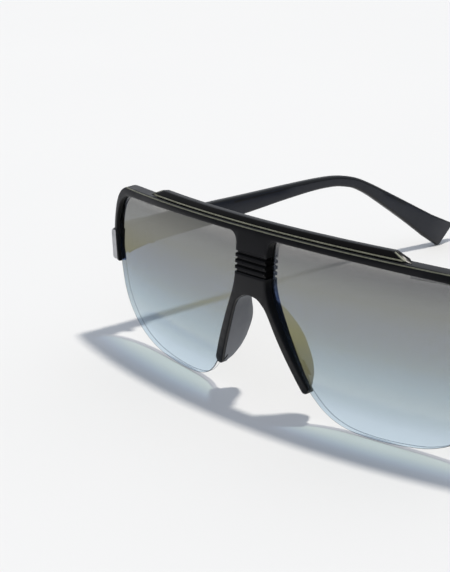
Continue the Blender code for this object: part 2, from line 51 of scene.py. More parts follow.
# The front is drawn flat and bent to its curved face, with the CAD's dimensions
FRONT_Y = -75.95 * MM               # the flat drawing's y = 0
FACE_TOP = 51.93 * MM
PLAN_CURVE = 1.97                   # 1/m
PLAN_CURVE_OUTER = 12.2             # 1/m^3
FACE_TILT = 0.198
UPRIGHT_RADIUS = 129.4 * MM
LEG_SWEEP = 0.06
LEG_SWEEP_FROM = 31.0 * MM
LEGS_WITHIN = 24.0 * MM
BROW_DROOP = 0.35
BROW_LOW = 49.77 * MM
BROW_LOW_DROOP = 0.47
BROW_LOW_FROM = 13.0 * MM
CORNER_START = 62.0 * MM
RIM_END = (73.6 * MM, 25.4 * MM)    # lowest point of a side rim
BRIDGE_CORNER = 3.2 * MM
BRIDGE_HALF = 6.25 * MM
GROOVE_TOP = 44.4 * MM
GROOVE_PITCH = 1.69 * MM
GROOVES = 4
GROOVE_WIDTH = 0.8 * MM
GROOVE_DEPTH = 0.6 * MM
NOTCH_DEPTH = 0.45 * MM
LEG_POCKET_FRONT = 1.1 * MM
BACK_LIP = 0.15 * MM                # frame behind the lenses
BEHIND = 20 * MM                    # clear of the frame's back
FRAME_DEEP = 12 * MM                # depth of the plate that the frame is cut from
TIP_TAPER_TOP = 14.0 * MM
TIP_THIN = 2.0 * MM
TIP_LOW = 7.5 * MM                  # just below the leg tips
TIP_CUT = (12 * MM, 23 * MM)        # width over which the leg tips are thinned
LENS_THICK = 1.7 * MM
LENS_INSET = 2.4 * MM
LENS_INSET_FROM = 8.0 * MM
LENS_INSET_FALL = 0.015
LENS_IN_BROW = 0.8 * MM
LENS_TOP_FROM = 58 * MM
LENS_TOP_TO = 12 * MM
BAR_TOP_RISE = 1.59 * MM
BAR_TOP_GAIN = 0.16
BAR_SHOULDER = 47.4 * MM
BAR_END = 51.6 * MM
BAR_END_RISE = 0.35 * MM
BAR_END_SKEW = 2.6 * MM
BAR_FRONT = 1.25 * MM
BAR_BACK = 4.0 * MM
BAR_FOOT = 0.2 * MM
LOWER_STRIPE_HALF = 66.5 * MM
UPPER_STRIPE_HALF = 49.9 * MM
UPPER_STRIPE_TOP_HALF = 46.1 * MM
INLAY_HALF = 48.9 * MM
INLAY_TOP_HALF = 45.1 * MM
HINGE_Y = 19.0 * MM
LUG_FROM = 73.3 * MM                # the end piece shows outside the rim
END_PIECE_CHAMFER = 0.8 * MM
TEMPLE_LEAN = 0.0702
TEMPLE_IN = 71.2 * MM
TEMPLE_THICK = 3.3 * MM
TIP_THICK = 2.6 * MM
TEMPLE_EDGE = 0.95 * MM
PAD_SPLAY = 0.04
TEMPLE_TIP_LOW = (146.6 * MM, 0.0)  # ends of the tip's flat cut, as (y, z)
TEMPLE_TIP_HIGH = (154.3 * MM, 7.0 * MM)

# What the visible pieces add to the CAD's shapes
FRONT_ROUNDING = 0.4 * MM
BAR_EDGE = 0.12 * MM
INLAY_EDGE = 0.08 * MM
TEMPLE_END_EDGE = 0.15 * MM
LENS_EDGE = 0.22 * MM
UPPER_STRIPE_WIDE = 0.24 * MM
TEMPLE_FACET = 0.22 * MM            # slant of the temple's inner face near its top
LENS_GAP = 0.06 * MM                # between a lens and its groove in the frame
PAD_PROUD = 0.15 * MM               # pad past the leg's inner edge
PAD_SLOT = ((-74.45, 9.6), (-73.85, 10.7))
PAD_SLOT_RADIUS = 0.33 * MM
UNCUT = 200 * MM                    # a bend's step for pieces that already have enough points


# ---- curves -----------------------------------------------------------------

def brow_top(x):
    return FACE_TOP - BROW_DROOP * x * x


def brow_low(x):
    return BROW_LOW - BROW_LOW_DROOP * x * x


def lens_bend(x, z):
    """The curve that the front and the lenses share, in plan and from the side."""
    dz = z - FACE_TOP
    return PLAN_CURVE * x ** 2 + PLAN_CURVE_OUTER * x ** 4 + FACE_TILT * dz + dz * dz / (2 * UPRIGHT_RADIUS)


def face_y(x, z):
    """The front's curved face, with the legs leaning back below the arch."""
    y = lens_bend(x, z)
    if abs(x) < LEGS_WITHIN and z < LEG_SWEEP_FROM:
        y += LEG_SWEEP * (LEG_SWEEP_FROM - z)
    return y


def lens_inset(x):
    """How far the lens's face lies behind the frame's."""
    return LENS_INSET - LENS_INSET_FALL * (abs(x) - LENS_INSET_FROM)


def smooth(points, steps=4):
    """A Catmull-Rom curve through the points."""
    vectors = [Vector(p) for p in points]
    ends = [2 * vectors[0] - vectors[1]] + vectors + [2 * vectors[-1] - vectors[-2]]
    curve = []
    for a, b, c, d in zip(ends, ends[1:], ends[2:], ends[3:]):
        for step in range(steps):
            t = step / steps
            curve.append(0.5 * (2 * b + (c - a) * t + (2 * a - 5 * b + 4 * c - d) * t ** 2
                                + (3 * b - a - 3 * c + d) * t ** 3))
    return curve + [vectors[-1]]


def in_mm(*pairs):
    return [(x * MM, z * MM) for x, z in pairs]


def offset_path(path, distance):
    moved = []
    for i, point in enumerate(path):
        along = (path[min(i + 1, len(path) - 1)] - path[max(i - 1, 0)]).normalized()
        moved.append(point + Vector((-along.y, along.x)) * distance)
    return moved


def inset(outline, distance):
    """The closed outline drawn in by this distance."""
    count = len(outline)
    area = sum(a.x * b.y - b.x * a.y for a, b in zip(outline, outline[1:] + outline[:1]))
    turn = 1 if area > 0 else -1
    moved = []
    for i, point in enumerate(outline):
        before = (point - outline[i - 1]).normalized()
        after = (outline[(i + 1) % count] - point).normalized()
        inward = Vector((-(before.y + after.y), before.x + after.x)) * turn
        sharpness = math.sqrt((1 + before.dot(after)) / 2)
        moved.append(point + inward.normalized() * distance / max(0.5, sharpness))
    return moved


def steps_between(start, end, count):
    return [start + (end - start) * i / count for i in range(count + 1)]


# ---- outlines of the front ----------------------------------------------------

def rim_outer():
    return smooth(in_mm((62, 50.58), (66.9, 50.1), (70.9, 48.2), (73.2, 45.0), (74.4, 40.5), (75.0, 35),
                        (74.8, 30), (74.1, 26.3)), 8)


def rim_inner():
    return smooth(in_mm((72.1, 25.5), (72.8, 30), (73.0, 35), (72.3, 40.4), (70.3, 44.7), (67.0, 47.1),
                        (62, 47.96)), 8)


def leg_outer():
    return smooth(in_mm((6.25, 38.0), (6.55, 35.9), (7.3, 33.4), (8.6, 30.3), (12.5, 22.4), (16.8, 13.9),
                        (18.55, 10.4)), 8)


def leg_tip():
    return smooth(in_mm((18.75, 9.6), (18.3, 8.6), (17.5, 8.2), (16.7, 8.35), (16.2, 9.1)), 5)


def leg_inner():
    return smooth(in_mm((16.2, 9.1), (14.4, 12.8), (10.3, 21.2), (6.6, 29.2), (4.7, 31.5), (2.6, 32.8),
                        (0, 33.2)), 8)


def bridge_side():
    """Down the bridge's side, with a notch at each groove."""
    centre = Vector((BRIDGE_HALF + BRIDGE_CORNER, brow_low(BRIDGE_HALF + BRIDGE_CORNER) - BRIDGE_CORNER))
    arc = [centre + BRIDGE_CORNER * Vector((math.cos(a), math.sin(a)))
           for a in steps_between(math.pi / 2, math.pi, 10)]
    side = []
    for groove in range(GROOVES):
        z = GROOVE_TOP - groove * GROOVE_PITCH
        side += [Vector((BRIDGE_HALF, z + GROOVE_WIDTH / 2)),
                 Vector((BRIDGE_HALF - NOTCH_DEPTH, z + GROOVE_WIDTH / 4)),
                 Vector((BRIDGE_HALF - NOTCH_DEPTH, z - GROOVE_WIDTH / 4)),
                 Vector((BRIDGE_HALF, z - GROOVE_WIDTH / 2))]
    return arc + side


def frame_half():
    top = [Vector((x, brow_top(x))) for x in steps_between(0, CORNER_START, 31)]
    low = [Vector((x, brow_low(x))) for x in steps_between(CORNER_START, BROW_LOW_FROM, 25)]
    return (top + rim_outer()[1:] + [Vector(RIM_END)] + rim_inner()[:-1] + low
            + bridge_side() + leg_outer() + leg_tip()[:-1] + leg_inner())


def lens_outline():
    lower = smooth(in_mm((16.0, 13.4), (17.2, 11.1), (18.55, 9.0), (20.1, 7.0), (22.4, 4.6), (25.6, 2.4),
                         (30, 0.8), (35, 0.14), (41, 0.02), (48, 0.44), (55, 1.45), (61, 3.6), (65.6, 6.7),
                         (69.4, 11.2), (71.7, 16.4), (72.6, 22), (73.4, 28), (73.9, 34), (73.2, 40),
                         (71.6, 45.2), (68.2, 47.9), (63, 48.7)), 6)
    top = [Vector((x, brow_low(x) + LENS_IN_BROW)) for x in steps_between(LENS_TOP_FROM, LENS_TOP_TO, 16)]
    inner = smooth(in_mm((8.2, 50.2), (5.9, 48.9), (5.2, 46.5), (5.0, 41.5), (5.1, 37), (5.7, 34.2),
                         (7.0, 31.2), (8.6, 28.4), (12.2, 21.4), (14.9, 15.7)), 6)
    return lower + top + inner


# ---- mesh helpers -----------------------------------------------------------

def link(name, mesh):
    made = bpy.data.objects.new(name, mesh)
    bpy.context.scene.collection.objects.link(made)
    return made


def smooth_shade(mesh, angle):
    mesh.shade_smooth()
    mesh.set_sharp_from_angle(angle=math.radians(angle))


def add_object(name, bm, finish=None, angle=35):
    bmesh.ops.recalc_face_normals(bm, faces=bm.faces)
    mesh = bpy.data.meshes.new(name)
    bm.to_mesh(mesh)
    bm.free()
    smooth_shade(mesh, angle)
    if finish:
        mesh.materials.append(finish)
    return link(name, mesh)


def loft(name, rings, finish=None, angle=35):
    """A closed body through rings of points, with flat caps on the first and the last."""
    bm = bmesh.new()
    rows = [[bm.verts.new(p) for p in ring] for ring in rings]
    count = len(rings[0])
    for low, high in zip(rows, rows[1:]):
        for i in range(count):
            j = (i + 1) % count
            bm.faces.new((low[i], low[j], high[j], high[i]))
    bm.faces.new(rows[0])
    bm.faces.new(rows[-1])
    return add_object(name, bm, finish, angle)


def plate(name, outline, front, back):
    """The outline between two faces, each given as its depth at x."""
    return loft(name, [[(p.x, depth(p.x), p.y) for p in outline] for depth in (front, back)])


def soft_plate(name, outline, rounding, back):
    """A plate whose front edges are rounded over."""
    rings = []
    for turn in (0, 30, 60, 90):
        angle = math.radians(turn)
        drawn = inset(outline, rounding * (1 - math.sin(angle))) if turn < 90 else outline
        rings.append([(p.x, rounding * (1 - math.cos(angle)), p.y) for p in drawn])
    rings.append([(p.x, back, p.y) for p in outline])
    return loft(name, rings)


def boolean(target, tools, operation="DIFFERENCE"):
    for tool in tools:
        step = target.modifiers.new(tool.name, "BOOLEAN")
        step.operation = operation
        step.solver = "EXACT"
        step.object = tool
    settle(target)
    for tool in tools:
        bpy.data.objects.remove(tool)


def settle(made):
    """The object keeps its evaluated mesh."""
    bpy.context.view_layer.update()
    shape = made.evaluated_get(bpy.context.evaluated_depsgraph_get())
    mesh = bpy.data.meshes.new_from_object(shape)
    made.modifiers.clear()
    made.data = mesh


def bevel(made, width, angle):
    step = made.modifiers.new("edge", "BEVEL")
    step.width = width
    step.segments = 2
    step.limit_method = "ANGLE"
    step.angle_limit = math.radians(angle)
    step.use_clamp_overlap = True
    settle(made)
    smooth_shade(made.data, 50)


def bend(made, curve, step=1.5 * MM):
    """Cuts the flat mesh along a grid in X and Z, so that it can follow the curve, and bends it."""
    bm = bmesh.new()
    bm.from_mesh(made.data)
    for axis in (0, 2):
        values = [v.co[axis] for v in bm.verts]
        position = (math.floor(min(values) / step) + 0.5) * step
        while position < max(values):
            normal = Vector((0, 0, 0))
            normal[axis] = 1
            bmesh.ops.bisect_plane(bm, geom=bm.verts[:] + bm.edges[:] + bm.faces[:], dist=0.02 * MM,
                                   plane_co=normal * position, plane_no=normal)
            position += step
    for vertex in bm.verts:
        vertex.co.y += curve(vertex.co.x, vertex.co.z) + FRONT_Y
    bmesh.ops.triangulate(bm, faces=[f for f in bm.faces if len(f.verts) > 4])
    bm.to_mesh(made.data)
    bm.free()


def mirrored(points):
    return [Vector((-p.x, p.y)) for p in reversed(points)]


# ---- front frame --------------------------------------------------------------

def groove_cutter(index):
    """A round-bottomed groove across the bridge."""
    z = GROOVE_TOP - index * GROOVE_PITCH
    reach = 2 * BRIDGE_HALF
    low = [(-GROOVE_DEPTH, -0.75), (0, -0.72), (0.1 * MM, -0.55), (0.25 * MM, -0.43), (GROOVE_DEPTH, -0.2)]
    section = low + [(y, -share) for y, share in reversed(low)]
    return loft("groove", [[(x, y, z + s * GROOVE_WIDTH) for y, s in section] for x in (-reach, reach)])


def back_cutter():
    """Everything behind the frame's back face."""
    wide = 80 * MM
    middle, end = (lens_inset(x) + LENS_THICK + BACK_LIP for x in (0, wide))
    outline = [(-wide, end), (0, middle), (wide, end), (wide, BEHIND), (-wide, BEHIND)]
    return loft("back", [[(x, y, z) for x, y in outline] for z in (-5 * MM, 60 * MM)])


def lens_room(side):
    """The groove that holds a lens in the frame."""
    outline = [Vector((p.x * side, p.y)) for p in lens_outline()]
    room = plate("lens_room", outline, lambda x: lens_inset(x) - LENS_GAP,
                 lambda x: lens_inset(x) + LENS_THICK + 1 * MM)
    bend(room, lens_bend)
    return room


def tip_cutter(side):
    """The wedge behind a leg's tip."""
    full = LENS_INSET + LENS_THICK + BACK_LIP
    section = [(full, TIP_TAPER_TOP), (TIP_THIN, TIP_LOW), (BEHIND, TIP_LOW), (BEHIND, TIP_TAPER_TOP)]
    return loft("tip_cutter", [[(side * x, y, z) for y, z in section] for x in TIP_CUT])


def end_piece(side):
    """The block outside a rim that carries the hinge: stations of y, near x, far x, low z and high z."""
    stations = [(8.4, 73.4, 75.4, 25.9, 35.3), (9.0, 73.2, 75.5, 25.8, 35.6), (10.2, 72.9, 75.5, 26.0, 36.0),
                (13.5, 71.2, 75.2, 28.0, 36.9), (18.85, 71.2, 74.8, 28.7, 36.9)]
    c = END_PIECE_CHAMFER
    d = 0.3 * c
    rings = []
    for station in stations:
        y, near, far, low, high = [value * MM for value in station]
        section = [(near, low), (far - c, low), (far - d, low + d), (far, low + c),
                   (far, high - c), (far - d, high - d), (far - c, high), (near, high)]
        rings.append([(side * x, FRONT_Y + y, z) for x, z in section])
    return loft("end_piece", rings)


def in_a_groove(face):
    """Whether this is a wall of one of the bridge's grooves."""
    x, y, z = face.center
    bottom = GROOVE_TOP - (GROOVES - 1) * GROOVE_PITCH
    banded = bottom - GROOVE_WIDTH / 2 < z < GROOVE_TOP + GROOVE_WIDTH / 2
    near = abs(x) < BRIDGE_HALF + 0.3 * MM and y < FRONT_Y + 3 * MM
    return banded and near and face.normal.y > -0.97


def frame_shell(finish, lug_finish, groove_shade_finish):
    """The frame, with a light grey on the end pieces' fronts and a darker black in the grooves that paints
    their shade.
    """
    half = frame_half()
    shell = soft_plate("frame_shell", half[:-1] + mirrored(half)[:-1], FRONT_ROUNDING, FRAME_DEEP)
    boolean(shell, [groove_cutter(i) for i in range(GROOVES)] + [back_cutter()])
    boolean(shell, [tip_cutter(side) for side in SIDES.values()])
    bend(shell, face_y)
    boolean(shell, [end_piece(side) for side in SIDES.values()], "UNION")
    boolean(shell, [lens_room(side) for side in SIDES.values()])
    smooth_shade(shell.data, 38)
    shell.data.materials.clear()
    for one in (finish, lug_finish, groove_shade_finish):
        shell.data.materials.append(one)
    for face in shell.data.polygons:
        # Only the end pieces' faces that look straight forward, outside the rim, get the light grey.
        lug = face.normal.y < -0.995 and abs(face.center.x) > LUG_FROM
        # Groove walls get the darker black: painted shade in the grooves.
        face.material_index = 1 if lug else 2 if in_a_groove(face) else 0
    return shell


# ---- lenses and pads ------------------------------------------------------------

LENS_FINISH_LIMITS = (-0.97, -0.2, 0.2, 0.97)   # of the normal's y: front, corner, edge, corner, back


def lens_shell(name, side, finishes):
    """The lens, with its own finishes, from the front through the edge and its two corners to the back."""
    outline = inset([Vector((p.x * side, p.y)) for p in lens_outline()], LENS_GAP)
    made = plate(name, outline, lens_inset, lambda x: lens_inset(x) + LENS_THICK)
    bevel(made, LENS_EDGE, 60)
    for finish in finishes:
        made.data.materials.append(finish)
    for face in made.data.polygons:
        face.material_index = sum(face.normal.y > limit for limit in LENS_FINISH_LIMITS)
    bend(made, lens_bend, 2 * MM)
    smooth_shade(made.data, 35)
    return made


def edge_at(edge, z):
    """X of the edge, which rises from its first point, at this height."""
    z = max(z, edge[0].y)
    for low, high in zip(edge, edge[1:]):
        if low.y <= z <= high.y:
            return low.x + (high.x - low.x) * (z - low.y) / (high.y - low.y)
    return edge[-1].x


def pad_slot(side):
    """The small slot low on a pad's face."""
    low, high = (Vector((y * MM, z * MM)) for y, z in PAD_SLOT)
    run = math.atan2(high.y - low.y, high.x - low.x)
    rim = []
    for centre, start in ((high, -90), (low, 90)):
        for turn in (0, 45, 90, 135, 180):
            angle = run + math.radians(start + turn)
            rim.append(centre + PAD_SLOT_RADIUS * Vector((math.cos(angle), math.sin(angle))))
    x = edge_at(leg_inner(), (low.y + high.y) / 2)
    sides = (x - 1.5 * MM, x + 0.4 * MM)
    return loft("pad_slot", [[(side * at, p.x, p.y) for p in rim] for at in sides])


def pad_shell(name, side, finish):
    """A D-shaped blade behind the leg's inner edge, soft at its rim: stations of height and depth."""
    stations = smooth([(31.6, 3.3), (30.5, 4.1), (29.0, 5.0), (27.3, 5.9), (25.0, 7.0), (22.0, 7.9),
                       (18.5, 8.1), (15.5, 7.9), (13.0, 7.2), (11.4, 6.3), (10.2, 5.2), (9.3, 3.9),
                       (8.9, 2.8)], 4)
    edge = leg_inner()
    rings = []
    for station in stations:
        z = station.x * MM
        x = edge_at(edge, z) - PAD_PROUD
        front = face_y(x, z) + LEG_POCKET_FRONT
        leg_back = face_y(x, z) + LENS_INSET + LENS_THICK + BACK_LIP
        back = max(station.y * MM, leg_back + 0.9 * MM) if z > 11 * MM else station.y * MM
        leg_back = min(leg_back, back - 0.8 * MM)
        out = PAD_SPLAY * (back - leg_back)
        ring = [(x, front), (x, (front + leg_back) / 2), (x + 0.02 * MM, leg_back),
                (x + 0.4 * out, (leg_back + back) / 2), (x + 0.85 * out, back - 0.5 * MM),
                (x + out + 0.2 * MM, back - 0.12 * MM), (x + out + 0.5 * MM, back),
                (x + out + 0.75 * MM, back - 0.12 * MM), (x + out + 0.95 * MM, back - 0.5 * MM),
                (x + 0.5 * out + 1.2 * MM, (leg_back + back) / 2), (x + 1.3 * MM, leg_back + 0.3 * MM),
                (x + 0.9 * MM, (front + leg_back) / 2), (x + 0.9 * MM, front)]
        rings.append([(side * px, py + FRONT_Y, z) for px, py in ring])
    made = loft(name, rings, finish)
    boolean(made, [pad_slot(side)])
    smooth_shade(made.data, 55)
    return made


# ---- brow trim ----------------------------------------------------------------

def bar_full(x):
    """The bar's full rise above the brow."""
    return BAR_TOP_RISE + BAR_TOP_GAIN * x * x


def bar_shell(finish, end_shade_finish):
    """The raised bar, whose ends slant down and are painted in a darker black, as shade."""
    stations = [(-1, BAR_END_RISE)] + [(t * BAR_SHOULDER / BAR_END, None) for t in steps_between(-1, 1, 60)]
    stations += [(1, BAR_END_RISE)]
    rings = []
    for t, end_rise in stations:
        ring = []
        for depth, share in ((BAR_FRONT, 0), (BAR_FRONT, 0.24), (2.25 * MM, 0.9), (2.4 * MM, 1),
                             (BAR_BACK - 0.2 * MM, 1), (BAR_BACK, 0.9), (BAR_BACK, 0)):
            skew = BAR_END_SKEW * (depth - BAR_FRONT) / (BAR_BACK - BAR_FRONT)
            x = t * (BAR_END - skew)
            rise = end_rise or bar_full(x)
            low = -BAR_FOOT if share == 0 else share * rise
            ring.append((x, depth, brow_top(x) + low))
        rings.append(ring)
    made = loft("bar_shell", rings, finish)
    bevel(made, BAR_EDGE, 25)
    # The slanted ends get the darker black: painted shade that dulls them.
    made.data.materials.append(end_shade_finish)
    for face in made.data.polygons:
        face.material_index = int(abs(face.normal.x) > 0.3)
    bend(made, face_y, UNCUT)
    return made


def inlay_shell(finish):
    rings = []
    for t in steps_between(-1, 1, 60):
        ring = []
        for depth, share, half in ((0.85, 0.38, INLAY_HALF), (1.95, 1.0, INLAY_TOP_HALF),
                                   (2.3, 0.98, INLAY_TOP_HALF), (1.4, 0.3, INLAY_HALF)):
            x = t * half
            ring.append((x, depth * MM, brow_top(x) + share * bar_full(x)))
        rings.append(ring)
    made = loft("inlay_shell", rings, finish)
    bevel(made, INLAY_EDGE, 25)
    bend(made, face_y, UNCUT)
    return made


def upper_line(finish):
    """The upper pinstripe, along the inlay and up its ends."""
    half = UPPER_STRIPE_WIDE / 2
    low_share, high_share = 0.27, 0.98
    run = steps_between(-UPPER_STRIPE_HALF, UPPER_STRIPE_HALF, 60)
    path = [(-UPPER_STRIPE_TOP_HALF, high_share)] + [(x, low_share) for x in run]
    path += [(UPPER_STRIPE_TOP_HALF, high_share)]
    line = [Vector((x, brow_top(x) + share * bar_full(x))) for x, share in path]
    low, high = offset_path(line, -half), offset_path(line, half)
    rings = []
    for (x, share), a, b in zip(path, low, high):
        depth = 0.62 * MM + (share - low_share) * 1.55 * MM
        deep = depth + (1.5 if share > 0.5 else 4) * half
        rings.append([(a.x, depth - half, a.y), (a.x, deep, a.y), (b.x, deep, b.y), (b.x, depth - half, b.y)])
    made = loft("upper_line", rings, finish)
    bend(made, face_y, UNCUT)
    return made


def lower_line(finish):
    """The lower pinstripe, just proud of the brow's face."""
    rings = []
    for x in steps_between(-LOWER_STRIPE_HALF, LOWER_STRIPE_HALF, 80):
        low, high = brow_top(x) - 0.48 * MM, brow_top(x) - 0.2 * MM
        rings.append([(x, -0.07 * MM, low), (x, 0.3 * MM, low), (x, 0.3 * MM, high), (x, -0.04 * MM, high)])
    made = loft("lower_line", rings, finish)
    bend(made, face_y, UNCUT)
    return made


# ---- temples ------------------------------------------------------------------

def temple_path():
    """Points of y, z and the temple's height there."""
    stations = [(19.15, 32.7, 8.2), (30, 33.0, 8.0), (45, 33.15, 7.4), (60, 33.5, 6.2), (75, 34.0, 4.9),
                (88, 34.2, 4.0), (97, 33.75, 3.7), (103, 32.6, 3.7), (108, 30.9, 3.8), (114, 27.6, 4.2),
                (121, 23.0, 5.1), (128, 18.3, 6.1), (135, 13.5, 7.2), (142, 8.6, 8.5)]
    return smooth([(y * MM, z * MM, height * MM) for y, z, height in stations], 5)


def temple_section(thick, height):
    """A rounded section, with the inner face cut back a little near its top."""
    r = min(TEMPLE_EDGE, thick / 2.5, height / 2.5)
    corners = [(r, -height / 2 + r, 180), (thick - r, -height / 2 + r, 270),
               (thick - r, height / 2 - r, 0), (r, height / 2 - r, 90)]
    rounded = [(u + r * math.cos(math.radians(start + turn)), v + r * math.sin(math.radians(start + turn)))
               for u, v, start in corners for turn in (0, 22.5, 45, 67.5, 90)]
    return [(u + (TEMPLE_FACET if v > 0.3 * height and u < 0.4 * thick else 0), v) for u, v in rounded] + [
        (0, 0.24 * height)]


def temple_ring(side, middle, up, thick, height):
    ring = []
    for u, v in temple_section(thick, height):
        place = middle + up * v
        inner = TEMPLE_IN - TEMPLE_LEAN * (place.x - HINGE_Y)
        ring.append((side * (inner + u), place.x + FRONT_Y, place.y))
    return ring


def temple_shell(name, side, finish, inner_sheen_finish):
    path = temple_path()
    tip_low, tip_high = Vector(TEMPLE_TIP_LOW), Vector(TEMPLE_TIP_HIGH)
    rings = []
    for i, point in enumerate(path):
        before, after = path[max(i - 1, 0)], path[min(i + 1, len(path) - 1)]
        along = Vector((after.x - before.x, after.y - before.y)).normalized()
        up = Vector((-along.y, along.x)) if i else Vector((0, 1))
        thick = TEMPLE_THICK + (TIP_THICK - TEMPLE_THICK) * i / len(path)
        rings.append(temple_ring(side, Vector((point.x, point.y)), up, thick, point.z))
    cut = tip_high - tip_low
    rings.append(temple_ring(side, (tip_low + tip_high) / 2, cut.normalized(), TIP_THICK, cut.length))
    made = loft(name, rings, finish, 50)
    bevel(made, TEMPLE_END_EDGE, 50)
    # The inner face gets a lighter, bluish black: a painted sheen from the room's light.
    made.data.materials.append(inner_sheen_finish)
    for face in made.data.polygons:
        face.material_index = int(side * face.normal.x < -0.96)
    return made


# ---- materials ----------------------------------------------------------------

def fill_ramp(ramp, stops):
    marks = ramp.color_ramp.elements
    while len(marks) < len(stops):
        marks.new(0.5)
    for mark, (position, color) in zip(marks, stops):
        mark.position = position
        mark.color = (*color, 1)


class Shader:
    """A material's node tree, with short ways to add and join nodes."""

    def __init__(self, name):
        self.material = bpy.data.materials.new(name)
        self.material.use_nodes = True
        self.nodes = self.material.node_tree.nodes
        self.links = self.material.node_tree.links
        self.main = self.nodes["Principled BSDF"]
        self.place = self.nodes.new("ShaderNodeTexCoord").outputs["Object"]

    def join(self, a, b):
        self.links.new(a, b)

    def noise(self, scale, detail):
        node = self.nodes.new("ShaderNodeTexNoise")
        node.inputs["Scale"].default_value = scale
        node.inputs["Detail"].default_value = detail
        self.join(self.place, node.inputs["Vector"])
        return node.outputs["Fac"]

    def span(self, value, low, high, out_low, out_high):
        node = self.nodes.new("ShaderNodeMapRange")
        self.join(value, node.inputs[0])
        for index, number in enumerate((low, high, out_low, out_high), 1):
            node.inputs[index].default_value = number
        return node.outputs[0]

    def ramp(self, value, stops):
        node = self.nodes.new("ShaderNodeValToRGB")
        self.join(value, node.inputs[0])
        fill_ramp(node, stops)
        return node.outputs[0]

    def height(self):
        node = self.nodes.new("ShaderNodeSeparateXYZ")
        self.join(self.place, node.inputs[0])
        return node.outputs[2]

    def bump(self, scale, strength, distance):
        """A fine grain in the surface."""
        node = self.nodes.new("ShaderNodeBump")
        node.inputs["Strength"].default_value = strength
        node.inputs["Distance"].default_value = distance
        self.join(self.noise(scale, 2), node.inputs["Height"])
        self.join(node.outputs[0], self.main.inputs["Normal"])

    def tone(self, scale, detail, low, high):
        """A base colour that drifts between two."""
        drift = self.ramp(self.noise(scale, detail), [(0.3, low), (0.7, high)])
        self.join(drift, self.main.inputs["Base Color"])

    def gloss(self, scale, detail, low, high):
        """A roughness that drifts between two."""
        drift = self.span(self.noise(scale, detail), 0.3, 0.7, low, high)
        self.join(drift, self.main.inputs["Roughness"])

    def set(self, **values):
        for key, value in values.items():
            self.main.inputs[key.replace("_", " ")].default_value = value

    def clear(self, color=(1, 1, 1)):
        """A shader that lets this colour through."""
        node = self.nodes.new("ShaderNodeBsdfTransparent")
        node.inputs[0].default_value = (*color, 1)
        return node

    def ray(self, kind):
        return self.nodes.new("ShaderNodeLightPath").outputs[f"Is {kind} Ray"]

    def mix(self, share, first, second):
        """The share of the second shader over the first."""
        node = self.nodes.new("ShaderNodeMixShader")
        if isinstance(share, float):
            node.inputs[0].default_value = share
        else:
            self.join(share, node.inputs[0])
        self.join(first, node.inputs[1])
        self.join(second, node.inputs[2])
        return node.outputs[0]

    def show(self, surface):
        self.join(surface, self.nodes["Material Output"].inputs[0])
        return self.material


def moulded_black(name, dark, light, rough_low, rough_high, specular):
    """Satin moulded plastic: a fine spark-eroded grain, with slight changes in gloss."""
    s = Shader(name)
    s.tone(90, 3, dark, light)
    s.gloss(260, 3, rough_low, rough_high)
    s.bump(4500, 0.12, 0.02 * MM)
    s.set(Specular_IOR_Level=specular)
    return s.material


def gloss_black():
    """The inlay's polished strip."""
    s = Shader("gloss_inlay")
    s.tone(60, 2, (0.004, 0.004, 0.004), (0.007, 0.006, 0.006))
    s.gloss(400, 3, 0.06, 0.12)
    s.set(Specular_IOR_Level=0.05)
    return s.material


def pale_line():
    """The pinstripes' dull gold."""
    s = Shader("pale_line")
    s.tone(700, 3, (0.28, 0.28, 0.20), (0.38, 0.38, 0.29))
    s.gloss(1500, 2, 0.28, 0.42)
    s.set(Metallic=0.6)
    return s.material


# A light grey metallic shader, which the frame puts only on the end pieces' forward faces.
def lug_front_grey():
    """The light grey front of an end piece."""
    s = Shader("lug_front_grey")
    s.tone(400, 3, (0.50, 0.50, 0.51), (0.60, 0.60, 0.61))
    s.gloss(1200, 3, 0.35, 0.5)
    s.set(Metallic=0.7)
    return s.material


def hinge_metal():
    """Black-plated steel, for the hinges and rivets."""
    s = Shader("hinge_metal")
    s.tone(500, 3, (0.018, 0.018, 0.02), (0.035, 0.035, 0.038))
    s.gloss(1200, 3, 0.3, 0.45)
    s.bump(3000, 0.1, 0.01 * MM)
    s.set(Metallic=0.8)
    return s.material


def soft_pad():
    """Grey silicone with a drifting tone, and painted light that makes it lighter toward the pad's low end.
    """
    s = Shader("soft_pad")
    lit_and_mottled = s.nodes.new("ShaderNodeMath")
    lit_and_mottled.operation = "ADD"
    # Painted light: the height ramp lightens the pad toward its low end. The noise adds a drifting tone.
    s.join(s.span(s.height(), 32 * MM, 10 * MM, 0.0, 0.9), lit_and_mottled.inputs[0])
    s.join(s.span(s.noise(150, 3), 0.3, 0.7, 0.0, 0.1), lit_and_mottled.inputs[1])
    s.join(s.ramp(lit_and_mottled.outputs[0], [(0.0, (0.060, 0.068, 0.082)), (0.55, (0.098, 0.105, 0.122)),
                                       (1.0, (0.165, 0.175, 0.195))]), s.main.inputs["Base Color"])
    s.gloss(300, 2, 0.42, 0.55)
    s.bump(3500, 0.08, 0.02 * MM)
    s.set(Subsurface_Weight=0.15, Subsurface_Radius=(0.002, 0.002, 0.002))
    return s.material


LENS_TALL = 50 * MM
MIRROR = 0.3                        # the mirror's share above MIRROR_HIGH
MIRROR_LEAST = 0.12                 # and below MIRROR_LOW
MIRROR_LOW = 4 * MM
MIRROR_HIGH = 14 * MM
MIRROR_GRAZED = 0.34                # least share for the lamp's light, which meets the lens at a slant
GRAZED_TINT = (0.92, 0.96, 0.77)
